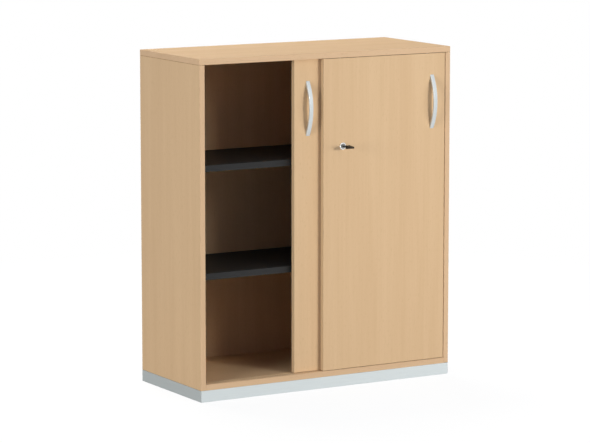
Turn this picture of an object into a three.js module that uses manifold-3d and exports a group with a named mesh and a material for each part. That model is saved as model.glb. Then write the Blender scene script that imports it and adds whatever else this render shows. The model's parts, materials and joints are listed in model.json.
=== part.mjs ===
// A low office cabinet with two sliding doors, three storeys high inside.
// Millimetres, +Z up. The front faces -Y and the left end is at -X. The origin lies on the floor,
// at the middle of the overall box, which the key in the front door makes deeper than the boards.
import * as THREE from 'three';
import { mergeVertices } from 'three/addons/utils/BufferGeometryUtils.js';
import Module from 'manifold-3d';

const wasm = await Module();
wasm.setup();

// Carcass
const WIDTH = 1000;
const DEPTH = 434;
const HEIGHT = 1170;
const SIDE_THICKNESS = 19;
const TOP_THICKNESS = 20;
const BOTTOM_THICKNESS = 20;
const BACK_THICKNESS = 8;
const BACK_LET_IN = 10; // how far the back panel reaches into each side
const PLINTH_HEIGHT = 40;
const PLINTH_THICKNESS = 19;

// Clearances
const SEAM = 0.2; // between boards that meet
const FIT = 0.3; // between a piece and the recess or bore that holds it
const OVERRUN = 2; // how far a cutter runs past the face that it opens

// Steel shelves and the pins that carry them
const STOREYS = 3;
const SHELF_RAISE = 2.2; // of the shelves above the height that would make the storeys equal
const SHELF_LIP = 22;
const SHELF_SHEET = 1.5;
const SHELF_SETBACK = 51; // from the carcass's front edge
const SHELF_END_CLEARANCE = 1.5;
const SHELF_BACK_CLEARANCE = 2;
const PIN_INSET = 40; // from the shelf's front and back edges
const PIN_HEAD_RADIUS = 4.5;
const PIN_HEAD_LENGTH = 10;
const PIN_PLUG_RADIUS = 2.5;
const PIN_PLUG_LENGTH = 8;
const PIN_HOLE_PITCH = 32;
const SPARE_HOLES = 2; // above and below each hole in use

// Doors
const DOOR_THICKNESS = 18;
const DOOR_EDGE_CLEARANCE = 1.4; // to the bottom and to the top
const DOOR_END_CLEARANCE = 2; // to a side panel when closed
const DOOR_SETBACK = 1.5; // of the front door behind the carcass's front edge
const DOOR_GAP = 3.5; // between the two doors
const RIGHT_DOOR_PAST_MIDDLE = 17; // how far it reaches past the cabinet's middle
const OPEN_STOP_THICKNESS = 8.5;
const BUFFER_RADIUS = 5;

// Bow handles
const HANDLE_LENGTH = 190;
const HANDLE_WIDTH = 14.5;
const HANDLE_PROJECTION = 26;
const HANDLE_THICKNESS = 6;
const HANDLE_FOOT = 18; // length of each flat end on the door
const HANDLE_INSET = 54; // from the door's outer edge to the handle's middle
const HANDLE_DROP = 74.6; // from the door's top edge to the handle's upper end
const FINGER_ROOM = 42.75; // between the left handle and the right door's edge
const SCREW_SPACING = 168;
const SCREW_RADIUS = 2;
const SCREW_BITE = 4; // into the handle's foot
const SCREW_HEAD_RADIUS = 4;
const SCREW_HEAD_LENGTH = 2.8;

// Tracks in the bottom and the guide rail in the top
const CHANNEL_WIDTH = 6;
const CHANNEL_WALL = 1.7;
const TRACK_DEPTH = 7.7;
const TRACK_FLOOR = 1.5;
const GUIDE_DEPTH = 8;
const GUIDE_WEB = 1.5;
const GUIDE_TIP_CLEARANCE = 0.5;
const GUIDE_PLUG_RADIUS = 5;
const GUIDE_PLUG_DEPTH = 20;
const GUIDE_INSET = 70; // from each end of a door

// Rollers
const ROLLER_INSET = 70; // from each end of a door
const WHEEL_RADIUS = 12;
const WHEEL_CHAMFER = 0.6;
const WHEEL_SIDE_CLEARANCE = 0.7; // to the channel's walls
const WHEEL_FLOOR_CLEARANCE = 0.2;
const WHEEL_RUN_CLEARANCE = 1.5; // to its housing, all round
const SLOT_SIDE_CLEARANCE = 0.4; // to its housing, each side
const HOUSING_WALL = 2.5;
const HOUSING_END = 9;
const HOUSING_ROOF = 4;
const AXLE_RADIUS = 1.5;

// Push lock and key
const LOCK_INSET = 77; // from the right door's inner edge
const LOCK_DROP = 304.6; // from the door's top edge
const ROSETTE_RADIUS = 12.5;
const ROSETTE_HEIGHT = 4;
const ROSETTE_CHAMFER = 1.5;
const SLEEVE_RADIUS = 10;
const CYLINDER_RADIUS = 8;
const CYLINDER_PROUD = 8; // in front of the door, unlocked
const CYLINDER_LENGTH = 15;
const PLUG_RADIUS = 5.5;
const PLUG_LENGTH = 13;
const LOCK_BACK_WALL = 2;
const BOLT_RADIUS = 4;
const STRIKER_RADIUS = 7;
const STRIKER_DEPTH = 11;
const STRIKER_FLOOR = 2;
const BLADE_WIDTH = 7.6;
const BLADE_THICKNESS = 2.8;
const BLADE_IN_PLUG = 10;
const FOLD_AHEAD = 28; // from the cylinder's face to the axis about which the key folds
const EYE_RADIUS = 4.5; // of the blade's rolled end
const KEY_PIN_RADIUS = 1.5;
const KNUCKLE_RADIUS = 6.5; // of the head round the fold axis
const KNUCKLE_WIDTH = 13;
const HEAD_LENGTH = 32; // from the fold axis to the tip
const HEAD_WIDTH = 20;
const TIP_THICKNESS = 3.5;

// Levelling feet
const FOOT_INSET = 60; // from the carcass's faces
const FOOT_RAISE = 1; // of the pad above the floor, wound right in
const FOOT_PAD_RADIUS = 13;
const FOOT_PAD_THICKNESS = 5;
const SPINDLE_RADIUS = 4;
const SPINDLE_ENTRY = 15; // into the bottom panel

// Facet counts
const ROUND_SIDES = 24;
const SMALL_SIDES = 12;
const HOLE_SIDES = 10;
const BOW_STEPS = 20;
const HEAD_STEPS = 14;

// Heights and faces that the pieces share
const halfInside = WIDTH / 2 - SIDE_THICKNESS;
const floorZ = PLINTH_HEIGHT + BOTTOM_THICKNESS;
const ceilingZ = HEIGHT - TOP_THICKNESS;
const keyReach = CYLINDER_PROUD + FOLD_AHEAD + HEAD_LENGTH - DOOR_SETBACK;
const frontY = (keyReach - DEPTH) / 2;
const rearY = frontY + DEPTH;
const backFaceY = rearY - BACK_THICKNESS;

// Door places at rest: the right door closed, the left one against its open stop behind it
const doorZ = [floorZ + DOOR_EDGE_CLEARANCE, ceilingZ - DOOR_EDGE_CLEARANCE];
const rightDoor = doorPlace(
  -RIGHT_DOOR_PAST_MIDDLE,
  halfInside - DOOR_END_CLEARANCE,
  frontY + DOOR_SETBACK,
);
const handleZ = doorZ[1] - HANDLE_DROP - HANDLE_LENGTH / 2;
const stripShowing = HANDLE_INSET + HANDLE_WIDTH / 2 + FINGER_ROOM;
const leftDoor = doorPlace(
  rightDoor.x[0] - stripShowing,
  halfInside - SEAM - OPEN_STOP_THICKNESS - FIT,
  rightDoor.y[1] + DOOR_GAP,
);
const leftDoorTravel = leftDoor.x[0] + halfInside - DOOR_END_CLEARANCE;

// Track, wheel and guide sizes that follow from the channel
const channelHalf = CHANNEL_WIDTH / 2;
const profileHalf = channelHalf + CHANNEL_WALL;
const wheelWidth = CHANNEL_WIDTH - 2 * WHEEL_SIDE_CLEARANCE;
const wheelSlot = wheelWidth + 2 * SLOT_SIDE_CLEARANCE;
const housingWidth = wheelSlot + 2 * HOUSING_WALL;
const wheelZ = floorZ - TRACK_DEPTH + TRACK_FLOOR + WHEEL_FLOOR_CLEARANCE + WHEEL_RADIUS;
const wheelRoom = WHEEL_RADIUS + WHEEL_RUN_CLEARANCE;
const housingTop = wheelZ + wheelRoom + HOUSING_ROOF;
const housingHalf = wheelRoom + HOUSING_END;
const guideReach = GUIDE_DEPTH - GUIDE_WEB - GUIDE_TIP_CLEARANCE;

// Lock axis and the depths along it
const lockX = rightDoor.x[0] + LOCK_INSET;
const lockZ = doorZ[1] - LOCK_DROP;
const cylinderFront = rightDoor.y[0] - CYLINDER_PROUD;
const cylinderRear = cylinderFront + CYLINDER_LENGTH;
const sleeveRear = rightDoor.y[1] - FIT;
const foldY = cylinderFront - FOLD_AHEAD;

const FINISHES = {
  beech: { color: 0xd8b692, roughness: 0.55, metalness: 0 },
  silverLaminate: { color: 0xd9dee0, roughness: 0.45, metalness: 0.2 },
  blackSteel: { color: 0x1c1c1c, roughness: 0.4, metalness: 0.3 },
  satinAluminium: { color: 0xdfe5e6, roughness: 0.35, metalness: 0.9 },
  chrome: { color: 0xe6e6e2, roughness: 0.12, metalness: 1 },
  steel: { color: 0xa9acae, roughness: 0.35, metalness: 0.9 },
  beigePlastic: { color: 0xb39372, roughness: 0.5, metalness: 0 },
  darkPlastic: { color: 0x2b2723, roughness: 0.5, metalness: 0 },
  whiteNylon: { color: 0xe9e7df, roughness: 0.4, metalness: 0 },
  greyRubber: { color: 0x55534f, roughness: 0.8, metalness: 0 },
};

const cabinet = new THREE.Group();

// Adds one piece to the cabinet.
function piece(name, geometry, finish) {
  const mesh = new THREE.Mesh(geometry, new THREE.MeshStandardMaterial(FINISHES[finish]));
  mesh.name = name;
  cabinet.add(mesh);
}

function doorPlace(left, right, front) {
  return { x: [left, right], y: [front, front + DOOR_THICKNESS], z: doorZ };
}

function middle([low, high]) {
  return (low + high) / 2;
}

// A block between the low and high values of each axis.
function block(x, y, z) {
  const geometry = new THREE.BoxGeometry(x[1] - x[0], y[1] - y[0], z[1] - z[0]);
  return geometry.translate(middle(x), middle(y), middle(z));
}

// A rod along one axis between two values, centred on the other two coordinates of its place.
function rod(axis, radius, span, place, sides = SMALL_SIDES) {
  const geometry = new THREE.CylinderGeometry(radius, radius, span[1] - span[0], sides);
  return aligned(geometry.translate(0, middle(span), 0), axis, place);
}

// Turns a shape made about the Y axis onto the named axis and moves it to its place.
function aligned(geometry, axis, place) {
  if (axis === 'x') geometry.rotateZ(-Math.PI / 2);
  if (axis === 'z') geometry.rotateX(Math.PI / 2);
  return geometry.translate(place.x ?? 0, place.y ?? 0, place.z ?? 0);
}

// A turned piece: the outline is [radius, height] pairs from the low end to the high end.
function turned(outline, axis, place, sides = SMALL_SIDES) {
  const points = outline.map(([radius, height]) => new THREE.Vector2(radius, height));
  return aligned(new THREE.LatheGeometry(points, sides), axis, place);
}

// A profile drawn in Y and Z, drawn out along X between the side panels.
function drawnAlongX(shape) {
  const length = 2 * (halfInside - SEAM);
  const geometry = new THREE.ExtrudeGeometry(shape, { depth: length, bevelEnabled: false });
  const axes = new THREE.Matrix4().makeBasis(
    new THREE.Vector3(0, 1, 0),
    new THREE.Vector3(0, 0, 1),
    new THREE.Vector3(1, 0, 0),
  );
  return geometry.translate(0, 0, -length / 2).applyMatrix4(axes);
}

function closedShape(points) {
  return new THREE.Shape(points.map(([a, b]) => new THREE.Vector2(a, b)));
}

function solidOf(geometry) {
  const bare = geometry.clone();
  bare.deleteAttribute('normal');
  bare.deleteAttribute('uv');
  const merged = mergeVertices(bare);
  return new wasm.Manifold(
    new wasm.Mesh({
      numProp: 3,
      vertProperties: merged.attributes.position.array,
      triVerts: new Uint32Array(merged.index.array),
    }),
  );
}

function geometryOf(solid) {
  const { vertProperties, triVerts } = solid.getMesh();
  const geometry = new THREE.BufferGeometry();
  geometry.setAttribute('position', new THREE.BufferAttribute(vertProperties, 3));
  geometry.setIndex(new THREE.BufferAttribute(triVerts, 1));
  return geometry;
}

function cut(geometry, cutters) {
  const left = cutters.reduce((solid, cutter) => solid.subtract(solidOf(cutter)), solidOf(geometry));
  return geometryOf(left);
}

function join(geometries) {
  const [first, ...rest] = geometries.map(solidOf);
  return geometryOf(rest.reduce((solid, other) => solid.add(other), first));
}

// What two shapes have in common.
function common(first, second) {
  return geometryOf(solidOf(first).intersect(solidOf(second)));
}

// Shelf heights, and the places of the four pins under each
function shelfTops() {
  const pitch = (ceilingZ - floorZ + SHELF_LIP) / STOREYS;
  const lower = floorZ + pitch + SHELF_RAISE;
  return { lower, upper: lower + pitch };
}

function shelfY() {
  return [frontY + SHELF_SETBACK, backFaceY - SHELF_BACK_CLEARANCE];
}

function pinRows() {
  const [front, back] = shelfY();
  return { front: front + PIN_INSET, back: back - PIN_INSET };
}

function pinZ(shelfTop) {
  return shelfTop - SHELF_LIP - FIT - PIN_HEAD_RADIUS;
}

// The top lies over the sides and holds the double guide rail in a groove from below.
function topPanel() {
  const panel = block([-WIDTH / 2, WIDTH / 2], [frontY, rearY], [ceilingZ, HEIGHT]);
  const groove = block(
    [-halfInside, halfInside],
    [middle(rightDoor.y) - profileHalf - FIT, middle(leftDoor.y) + profileHalf + FIT],
    [ceilingZ - OVERRUN, ceilingZ + GUIDE_DEPTH + FIT],
  );
  piece('top_panel', cut(panel, [groove]), 'beech');
}

// The bottom fits between the sides, with a groove for each track and blind holes for the feet.
function bottomPanel() {
  const panel = block(
    [-halfInside + SEAM, halfInside - SEAM],
    [frontY, backFaceY - SEAM],
    [PLINTH_HEIGHT + SEAM, floorZ],
  );
  const grooves = [rightDoor, leftDoor].map((door) =>
    block(
      [-halfInside - OVERRUN, halfInside + OVERRUN],
      [middle(door.y) - profileHalf - FIT, middle(door.y) + profileHalf + FIT],
      [floorZ - TRACK_DEPTH - FIT, floorZ + OVERRUN],
    ),
  );
  const holes = footPlaces().map(({ x, y }) =>
    rod(
      'z',
      SPINDLE_RADIUS + FIT,
      [PLINTH_HEIGHT - OVERRUN, PLINTH_HEIGHT + SPINDLE_ENTRY + FIT],
      { x, y },
    ),
  );
  piece('bottom_panel', cut(panel, [...grooves, ...holes]), 'beech');
}

// A side panel, rebated for the back and bored with two rows of holes for the shelf pins.
function sidePanel(name, hand) {
  const outer = (hand * WIDTH) / 2;
  const inner = hand * halfInside;
  const panel = block(
    [Math.min(outer, inner), Math.max(outer, inner)],
    [frontY, rearY],
    [PLINTH_HEIGHT + SEAM, ceilingZ - SEAM],
  );
  const rebateEnds = [inner - hand * OVERRUN, inner + hand * BACK_LET_IN];
  const rebate = block(
    [Math.min(...rebateEnds), Math.max(...rebateEnds)],
    [backFaceY - SEAM, rearY + OVERRUN],
    [PLINTH_HEIGHT - OVERRUN, HEIGHT],
  );
  const holes = [];
  for (const top of Object.values(shelfTops()))
    for (const y of Object.values(pinRows()))
      for (let step = -SPARE_HOLES; step <= SPARE_HOLES; step++)
        holes.push(pinHole(inner, hand, y, pinZ(top) + step * PIN_HOLE_PITCH));
  piece(name, cut(panel, [rebate, ...holes]), 'beech');
}

function pinHole(inner, hand, y, z) {
  const ends = [inner - hand * OVERRUN, inner + hand * (PIN_PLUG_LENGTH + FIT)];
  const span = [Math.min(...ends), Math.max(...ends)];
  return rod('x', PIN_PLUG_RADIUS + FIT, span, { y, z }, HOLE_SIDES);
}

// The back lies in the sides' rebates, under the top and behind the bottom.
function backPanel() {
  const half = halfInside + BACK_LET_IN - SEAM;
  const panel = block([-half, half], [backFaceY, rearY], [PLINTH_HEIGHT + SEAM, ceilingZ - SEAM]);
  piece('back_panel', panel, 'beech');
}

// One plinth board, mitred at both ends; the outline runs anticlockwise seen from above.
function plinthBoard(name, outline) {
  const geometry = new THREE.ExtrudeGeometry(closedShape(outline), {
    depth: PLINTH_HEIGHT,
    bevelEnabled: false,
  });
  piece(name, geometry, 'silverLaminate');
}

function plinth() {
  const half = WIDTH / 2;
  const t = PLINTH_THICKNESS;
  plinthBoard('plinth_front', [
    [-half + SEAM, frontY],
    [half - SEAM, frontY],
    [half - SEAM - t, frontY + t],
    [-half + SEAM + t, frontY + t],
  ]);
  plinthBoard('plinth_back', [
    [half - SEAM, rearY],
    [-half + SEAM, rearY],
    [-half + SEAM + t, rearY - t],
    [half - SEAM - t, rearY - t],
  ]);
  for (const [name, hand] of [['plinth_left', -1], ['plinth_right', 1]]) {
    const outline = [
      [hand * half, frontY + SEAM],
      [hand * half, rearY - SEAM],
      [hand * (half - t), rearY - SEAM - t],
      [hand * (half - t), frontY + SEAM + t],
    ];
    plinthBoard(name, hand > 0 ? outline : outline.reverse());
  }
}

// A shelf is a shallow steel tray turned over: a plate with a lip on all four sides.
function shelf(name, top) {
  const x = [-halfInside + SHELF_END_CLEARANCE, halfInside - SHELF_END_CLEARANCE];
  const y = shelfY();
  const tray = block(x, y, [top - SHELF_LIP, top]);
  const hollow = block(
    [x[0] + SHELF_SHEET, x[1] - SHELF_SHEET],
    [y[0] + SHELF_SHEET, y[1] - SHELF_SHEET],
    [top - SHELF_LIP - OVERRUN, top - SHELF_SHEET],
  );
  piece(name, cut(tray, [hollow]), 'blackSteel');
}

// A pin is pushed into the side panel, and the shelf's end lip lies on its head.
function shelfPin(name, hand, y, top) {
  const outline = [
    [0, -PIN_PLUG_LENGTH],
    [PIN_PLUG_RADIUS, -PIN_PLUG_LENGTH],
    [PIN_PLUG_RADIUS, SEAM],
    [PIN_HEAD_RADIUS, SEAM],
    [PIN_HEAD_RADIUS, PIN_HEAD_LENGTH],
    [0, PIN_HEAD_LENGTH],
  ];
  const geometry = turned(outline, 'x', {});
  if (hand > 0) geometry.rotateZ(Math.PI);
  piece(name, geometry.translate(hand * halfInside, y, pinZ(top)), 'steel');
}

function shelves() {
  for (const [level, top] of Object.entries(shelfTops())) {
    shelf(`${level}_shelf`, top);
    for (const [end, hand] of [['left', -1], ['right', 1]])
      for (const [row, y] of Object.entries(pinRows()))
        shelfPin(`${level}_shelf_pin_${end}_${row}`, hand, y, top);
  }
}

// A channel section open at the top; its outside lies in a groove of the bottom panel.
function track(name, door) {
  const low = floorZ - TRACK_DEPTH;
  const y = middle(door.y);
  const shape = closedShape([
    [y - profileHalf, low],
    [y + profileHalf, low],
    [y + profileHalf, floorZ],
    [y + channelHalf, floorZ],
    [y + channelHalf, low + TRACK_FLOOR],
    [y - channelHalf, low + TRACK_FLOOR],
    [y - channelHalf, floorZ],
    [y - profileHalf, floorZ],
  ]);
  piece(name, drawnAlongX(shape), 'beigePlastic');
}

// A double channel open at the bottom, one channel over the middle of each door.
function upperGuideRail() {
  const high = ceilingZ + GUIDE_DEPTH;
  const channelTop = high - GUIDE_WEB;
  const [front, rear] = [middle(rightDoor.y), middle(leftDoor.y)];
  const shape = closedShape([
    [front - profileHalf, ceilingZ],
    [front - channelHalf, ceilingZ],
    [front - channelHalf, channelTop],
    [front + channelHalf, channelTop],
    [front + channelHalf, ceilingZ],
    [rear - channelHalf, ceilingZ],
    [rear - channelHalf, channelTop],
    [rear + channelHalf, channelTop],
    [rear + channelHalf, ceilingZ],
    [rear + profileHalf, ceilingZ],
    [rear + profileHalf, high],
    [front - profileHalf, high],
  ]);
  piece('upper_guide_rail', drawnAlongX(shape), 'beigePlastic');
}

// Round pads on the side panels that the doors run against, at half their height.
function doorStops() {
  const closing = DOOR_END_CLEARANCE - SEAM - FIT;
  const pads = [
    ['left_door_closing_buffer', -1, leftDoor, closing],
    ['right_door_closing_buffer', 1, rightDoor, closing],
    ['left_door_open_stop', 1, leftDoor, OPEN_STOP_THICKNESS],
  ];
  for (const [name, hand, door, thickness] of pads) {
    const ends = [hand * (halfInside - SEAM), hand * (halfInside - SEAM - thickness)];
    const span = [Math.min(...ends), Math.max(...ends)];
    const place = { y: middle(door.y), z: middle(door.z) };
    piece(name, rod('x', BUFFER_RADIUS, span, place), 'greyRubber');
  }
}

function footPlaces() {
  const places = [];
  for (const [end, hand] of [['left', -1], ['right', 1]])
    for (const [row, y] of [['front', frontY + FOOT_INSET], ['back', rearY - FOOT_INSET]])
      places.push({ name: `levelling_foot_${end}_${row}`, x: hand * (WIDTH / 2 - FOOT_INSET), y });
  return places;
}

// A foot is a round pad on a spindle that winds up into the bottom panel.
function levellingFeet() {
  const padTop = FOOT_RAISE + FOOT_PAD_THICKNESS;
  const spindleTop = PLINTH_HEIGHT + SPINDLE_ENTRY;
  const outline = [
    [0, FOOT_RAISE],
    [FOOT_PAD_RADIUS, FOOT_RAISE],
    [FOOT_PAD_RADIUS, padTop],
    [SPINDLE_RADIUS, padTop],
    [SPINDLE_RADIUS, spindleTop],
    [0, spindleTop],
  ];
  for (const { name, x, y } of footPlaces()) piece(name, turned(outline, 'z', { x, y }), 'steel');
}

function rollerPlaces(door) {
  return { left: door.x[0] + ROLLER_INSET, right: door.x[1] - ROLLER_INSET };
}

function guidePlaces(door) {
  return { left: door.x[0] + GUIDE_INSET, right: door.x[1] - GUIDE_INSET };
}

function screwHeights() {
  return { lower: handleZ - SCREW_SPACING / 2, upper: handleZ + SCREW_SPACING / 2 };
}

// What is cut out of a door for its rollers, its top guides and its handle's screws.
function doorCutters(door, handleX) {
  const y = middle(door.y);
  const pocket = housingWidth / 2 + FIT;
  const pockets = Object.values(rollerPlaces(door)).map((x) =>
    block(
      [x - housingHalf - FIT, x + housingHalf + FIT],
      [y - pocket, y + pocket],
      [door.z[0] - OVERRUN, housingTop + FIT],
    ),
  );
  const sockets = Object.values(guidePlaces(door)).map((x) =>
    rod(
      'z',
      GUIDE_PLUG_RADIUS + FIT,
      [door.z[1] - GUIDE_PLUG_DEPTH - FIT, door.z[1] + OVERRUN],
      { x, y },
    ),
  );
  const bores = Object.values(screwHeights()).flatMap((z) => [
    rod('y', SCREW_RADIUS + FIT, [door.y[0] - OVERRUN, door.y[1] + OVERRUN], { x: handleX, z }),
    rod(
      'y',
      SCREW_HEAD_RADIUS + FIT,
      [door.y[1] - SCREW_HEAD_LENGTH - FIT, door.y[1] + OVERRUN],
      { x: handleX, z },
    ),
  ]);
  return [...pockets, ...sockets, ...bores];
}

// Radius of an arc from its half chord and its rise
function arcRadius(halfChord, rise) {
  return (halfChord * halfChord + rise * rise) / (2 * rise);
}

// A bow handle between two arcs, standing on the door on a flat foot at each end.
function handle(name, x, door) {
  const outerHalf = HANDLE_LENGTH / 2;
  const innerHalf = outerHalf - HANDLE_FOOT;
  const innerRise = HANDLE_PROJECTION - HANDLE_THICKNESS;
  const outer = arcRadius(outerHalf, HANDLE_PROJECTION);
  const inner = arcRadius(innerHalf, innerRise);
  const outerAngle = Math.asin(outerHalf / outer);
  const innerAngle = Math.asin(innerHalf / inner);
  const shape = new THREE.Shape();
  shape.absarc(HANDLE_PROJECTION - outer, 0, outer, -outerAngle, outerAngle, false);
  shape.absarc(innerRise - inner, 0, inner, innerAngle, -innerAngle, true);
  shape.closePath();
  const bow = new THREE.ExtrudeGeometry(shape, {
    depth: HANDLE_WIDTH,
    bevelEnabled: false,
    curveSegments: BOW_STEPS,
  });
  const axes = new THREE.Matrix4().makeBasis(
    new THREE.Vector3(0, -1, 0),
    new THREE.Vector3(0, 0, 1),
    new THREE.Vector3(-1, 0, 0),
  );
  bow.translate(0, 0, -HANDLE_WIDTH / 2).applyMatrix4(axes);
  bow.translate(x, door.y[0] - SEAM, handleZ);
  const holes = Object.values(screwHeights()).map((z) =>
    rod('y', SCREW_RADIUS + FIT, [door.y[0] - SCREW_BITE - FIT, door.y[0] + OVERRUN], { x, z }),
  );
  piece(name, cut(bow, holes), 'satinAluminium');
}

// A countersunk screw from the door's back into the handle's foot.
function handleScrew(name, x, z, door) {
  const [tip, back] = [door.y[0] - SCREW_BITE, door.y[1]];
  const neck = back - SCREW_HEAD_LENGTH;
  const outline = [
    [0, tip],
    [SCREW_RADIUS, tip],
    [SCREW_RADIUS, neck],
    [SCREW_HEAD_RADIUS, neck],
    [SCREW_HEAD_RADIUS, back],
    [0, back],
  ];
  piece(name, turned(outline, 'y', { x, z }), 'steel');
}

// A wheel in its housing, sunk in the door's lower edge and running in the channel below.
function roller(name, x, door) {
  const y = middle(door.y);
  const half = housingWidth / 2;
  const body = block([x - housingHalf, x + housingHalf], [y - half, y + half], [door.z[0], housingTop]);
  const slot = block(
    [x - wheelRoom, x + wheelRoom],
    [y - wheelSlot / 2, y + wheelSlot / 2],
    [door.z[0] - OVERRUN, wheelZ + wheelRoom],
  );
  const bore = rod(
    'y',
    AXLE_RADIUS + FIT,
    [y - half - OVERRUN, y + half + OVERRUN],
    { x, z: wheelZ },
  );
  piece(`${name}_housing`, cut(body, [slot, bore]), 'darkPlastic');
  piece(`${name}_axle`, rod('y', AXLE_RADIUS, [y - half, y + half], { x, z: wheelZ }), 'steel');
  piece(`${name}_wheel`, wheel(x, y), 'whiteNylon');
}

function wheel(x, y) {
  const half = wheelWidth / 2;
  const bore = AXLE_RADIUS + FIT;
  const outline = [
    [bore, -half],
    [WHEEL_RADIUS - WHEEL_CHAMFER, -half],
    [WHEEL_RADIUS, WHEEL_CHAMFER - half],
    [WHEEL_RADIUS, half - WHEEL_CHAMFER],
    [WHEEL_RADIUS - WHEEL_CHAMFER, half],
    [bore, half],
    [bore, -half],
  ];
  return turned(outline, 'y', { x, y, z: wheelZ }, ROUND_SIDES);
}

// A guide is plugged into the door's top edge, and its pin runs in the channel above.
function topGuide(name, x, door) {
  const low = door.z[1] - GUIDE_PLUG_DEPTH;
  const tip = ceilingZ + guideReach;
  const pinRadius = channelHalf - FIT;
  const outline = [
    [0, low],
    [GUIDE_PLUG_RADIUS, low],
    [GUIDE_PLUG_RADIUS, door.z[1]],
    [pinRadius, door.z[1]],
    [pinRadius, tip],
    [0, tip],
  ];
  piece(name, turned(outline, 'z', { x, y: middle(door.y) }), 'whiteNylon');
}

// A door board with its handle, screws, rollers and top guides.
function slidingDoor(hand, door, handleX, extraCutters) {
  const panel = block(door.x, door.y, door.z);
  piece(`${hand}_door`, cut(panel, [...doorCutters(door, handleX), ...extraCutters]), 'beech');
  handle(`${hand}_handle`, handleX, door);
  for (const [level, z] of Object.entries(screwHeights()))
    handleScrew(`${hand}_handle_screw_${level}`, handleX, z, door);
  for (const [end, x] of Object.entries(rollerPlaces(door)))
    roller(`${hand}_door_${end}_roller`, x, door);
  for (const [end, x] of Object.entries(guidePlaces(door)))
    topGuide(`${hand}_door_${end}_guide`, x, door);
}

// A bush in the left door's face, which takes the bolt once both doors are closed.
function striker(x) {
  const front = leftDoor.y[0];
  const rear = front + STRIKER_DEPTH;
  const bore = BOLT_RADIUS + FIT;
  const outline = [
    [bore, front],
    [STRIKER_RADIUS, front],
    [STRIKER_RADIUS, rear],
    [0, rear],
    [0, rear - STRIKER_FLOOR],
    [bore, rear - STRIKER_FLOOR],
    [bore, front],
  ];
  piece('striker_bush', turned(outline, 'y', { x, z: lockZ }, ROUND_SIDES), 'darkPlastic');
}

// The fixed part of the lock: a rosette on the door's face and a sleeve through the door.
function lockHousing(place) {
  const face = rightDoor.y[0] - SEAM;
  const front = face - ROSETTE_HEIGHT;
  const cylinderBore = CYLINDER_RADIUS + FIT;
  const boltBore = BOLT_RADIUS + FIT;
  const inside = sleeveRear - LOCK_BACK_WALL;
  const outline = [
    [cylinderBore, front],
    [ROSETTE_RADIUS - ROSETTE_CHAMFER, front],
    [ROSETTE_RADIUS, front + ROSETTE_CHAMFER],
    [ROSETTE_RADIUS, face],
    [SLEEVE_RADIUS, face],
    [SLEEVE_RADIUS, sleeveRear],
    [boltBore, sleeveRear],
    [boltBore, inside],
    [cylinderBore, inside],
    [cylinderBore, front],
  ];
  piece('lock_housing', turned(outline, 'y', place, ROUND_SIDES), 'chrome');
}

// The push cylinder holds the turning plug, and a bolt stands on its rear face.
function lockCylinder(place) {
  const plugBore = PLUG_RADIUS + FIT;
  const plugBed = cylinderFront + PLUG_LENGTH + FIT;
  const outline = [
    [plugBore, cylinderFront],
    [CYLINDER_RADIUS, cylinderFront],
    [CYLINDER_RADIUS, cylinderRear],
    [0, cylinderRear],
    [0, plugBed],
    [plugBore, plugBed],
    [plugBore, cylinderFront],
  ];
  piece('lock_cylinder', turned(outline, 'y', place, ROUND_SIDES), 'chrome');
  piece('lock_bolt', rod('y', BOLT_RADIUS, [cylinderRear + SEAM, sleeveRear], place), 'steel');
}

// The plug turns in the cylinder and has a level keyway in its face.
function lockPlug(place) {
  const body = rod('y', PLUG_RADIUS, [cylinderFront, cylinderFront + PLUG_LENGTH], place, ROUND_SIDES);
  const keyway = block(
    [place.x - BLADE_WIDTH / 2 - FIT, place.x + BLADE_WIDTH / 2 + FIT],
    [cylinderFront - OVERRUN, cylinderFront + BLADE_IN_PLUG + FIT],
    [place.z - BLADE_THICKNESS / 2 - FIT, place.z + BLADE_THICKNESS / 2 + FIT],
  );
  piece('lock_plug', cut(body, [keyway]), 'chrome');
}

// A rod along the fold axis, centred on the lock's axis.
function foldRod(radius, width, place, sides) {
  return rod('x', radius, [place.x - width / 2, place.x + width / 2], { y: foldY, z: place.z }, sides);
}

// The flat blade lies level, and its rolled end turns on a pin that is riveted into it.
function keyBlade(place) {
  const blade = block(
    [place.x - BLADE_WIDTH / 2, place.x + BLADE_WIDTH / 2],
    [foldY, cylinderFront + BLADE_IN_PLUG],
    [place.z - BLADE_THICKNESS / 2, place.z + BLADE_THICKNESS / 2],
  );
  const eye = foldRod(EYE_RADIUS, BLADE_WIDTH, place, ROUND_SIDES);
  const pin = foldRod(KEY_PIN_RADIUS, KNUCKLE_WIDTH, place, SMALL_SIDES);
  piece('key_blade', join([blade, eye, pin]), 'steel');
}

// The head seen from the side: round about the fold axis and drawn in towards the tip.
function headSide() {
  const tip = TIP_THICKNESS / 2;
  const tipPlace = HEAD_LENGTH - tip;
  const tangent = Math.acos((KNUCKLE_RADIUS - tip) / tipPlace);
  const shape = new THREE.Shape();
  shape.absarc(0, 0, KNUCKLE_RADIUS, tangent, -tangent, false);
  shape.absarc(tipPlace, 0, tip, -tangent, tangent, false);
  shape.closePath();
  return shape;
}

// The head seen from above: straight at the knuckle, then wider, with a round end.
function headPlan() {
  const half = HEAD_WIDTH / 2;
  const neck = KNUCKLE_WIDTH / 2;
  const shape = new THREE.Shape();
  shape.moveTo(-KNUCKLE_RADIUS, -neck);
  shape.lineTo(KNUCKLE_RADIUS, -neck);
  shape.absarc(HEAD_LENGTH - half, 0, half, -Math.PI / 2, Math.PI / 2, false);
  shape.lineTo(KNUCKLE_RADIUS, neck);
  shape.lineTo(-KNUCKLE_RADIUS, neck);
  shape.closePath();
  return shape;
}

// Draws a head outline out to a depth, centred, with its length along X and its depth along Z.
function headBlank(shape, depth) {
  const options = { depth, bevelEnabled: false, curveSegments: HEAD_STEPS };
  return new THREE.ExtrudeGeometry(shape, options).translate(0, 0, -depth / 2);
}

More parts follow.
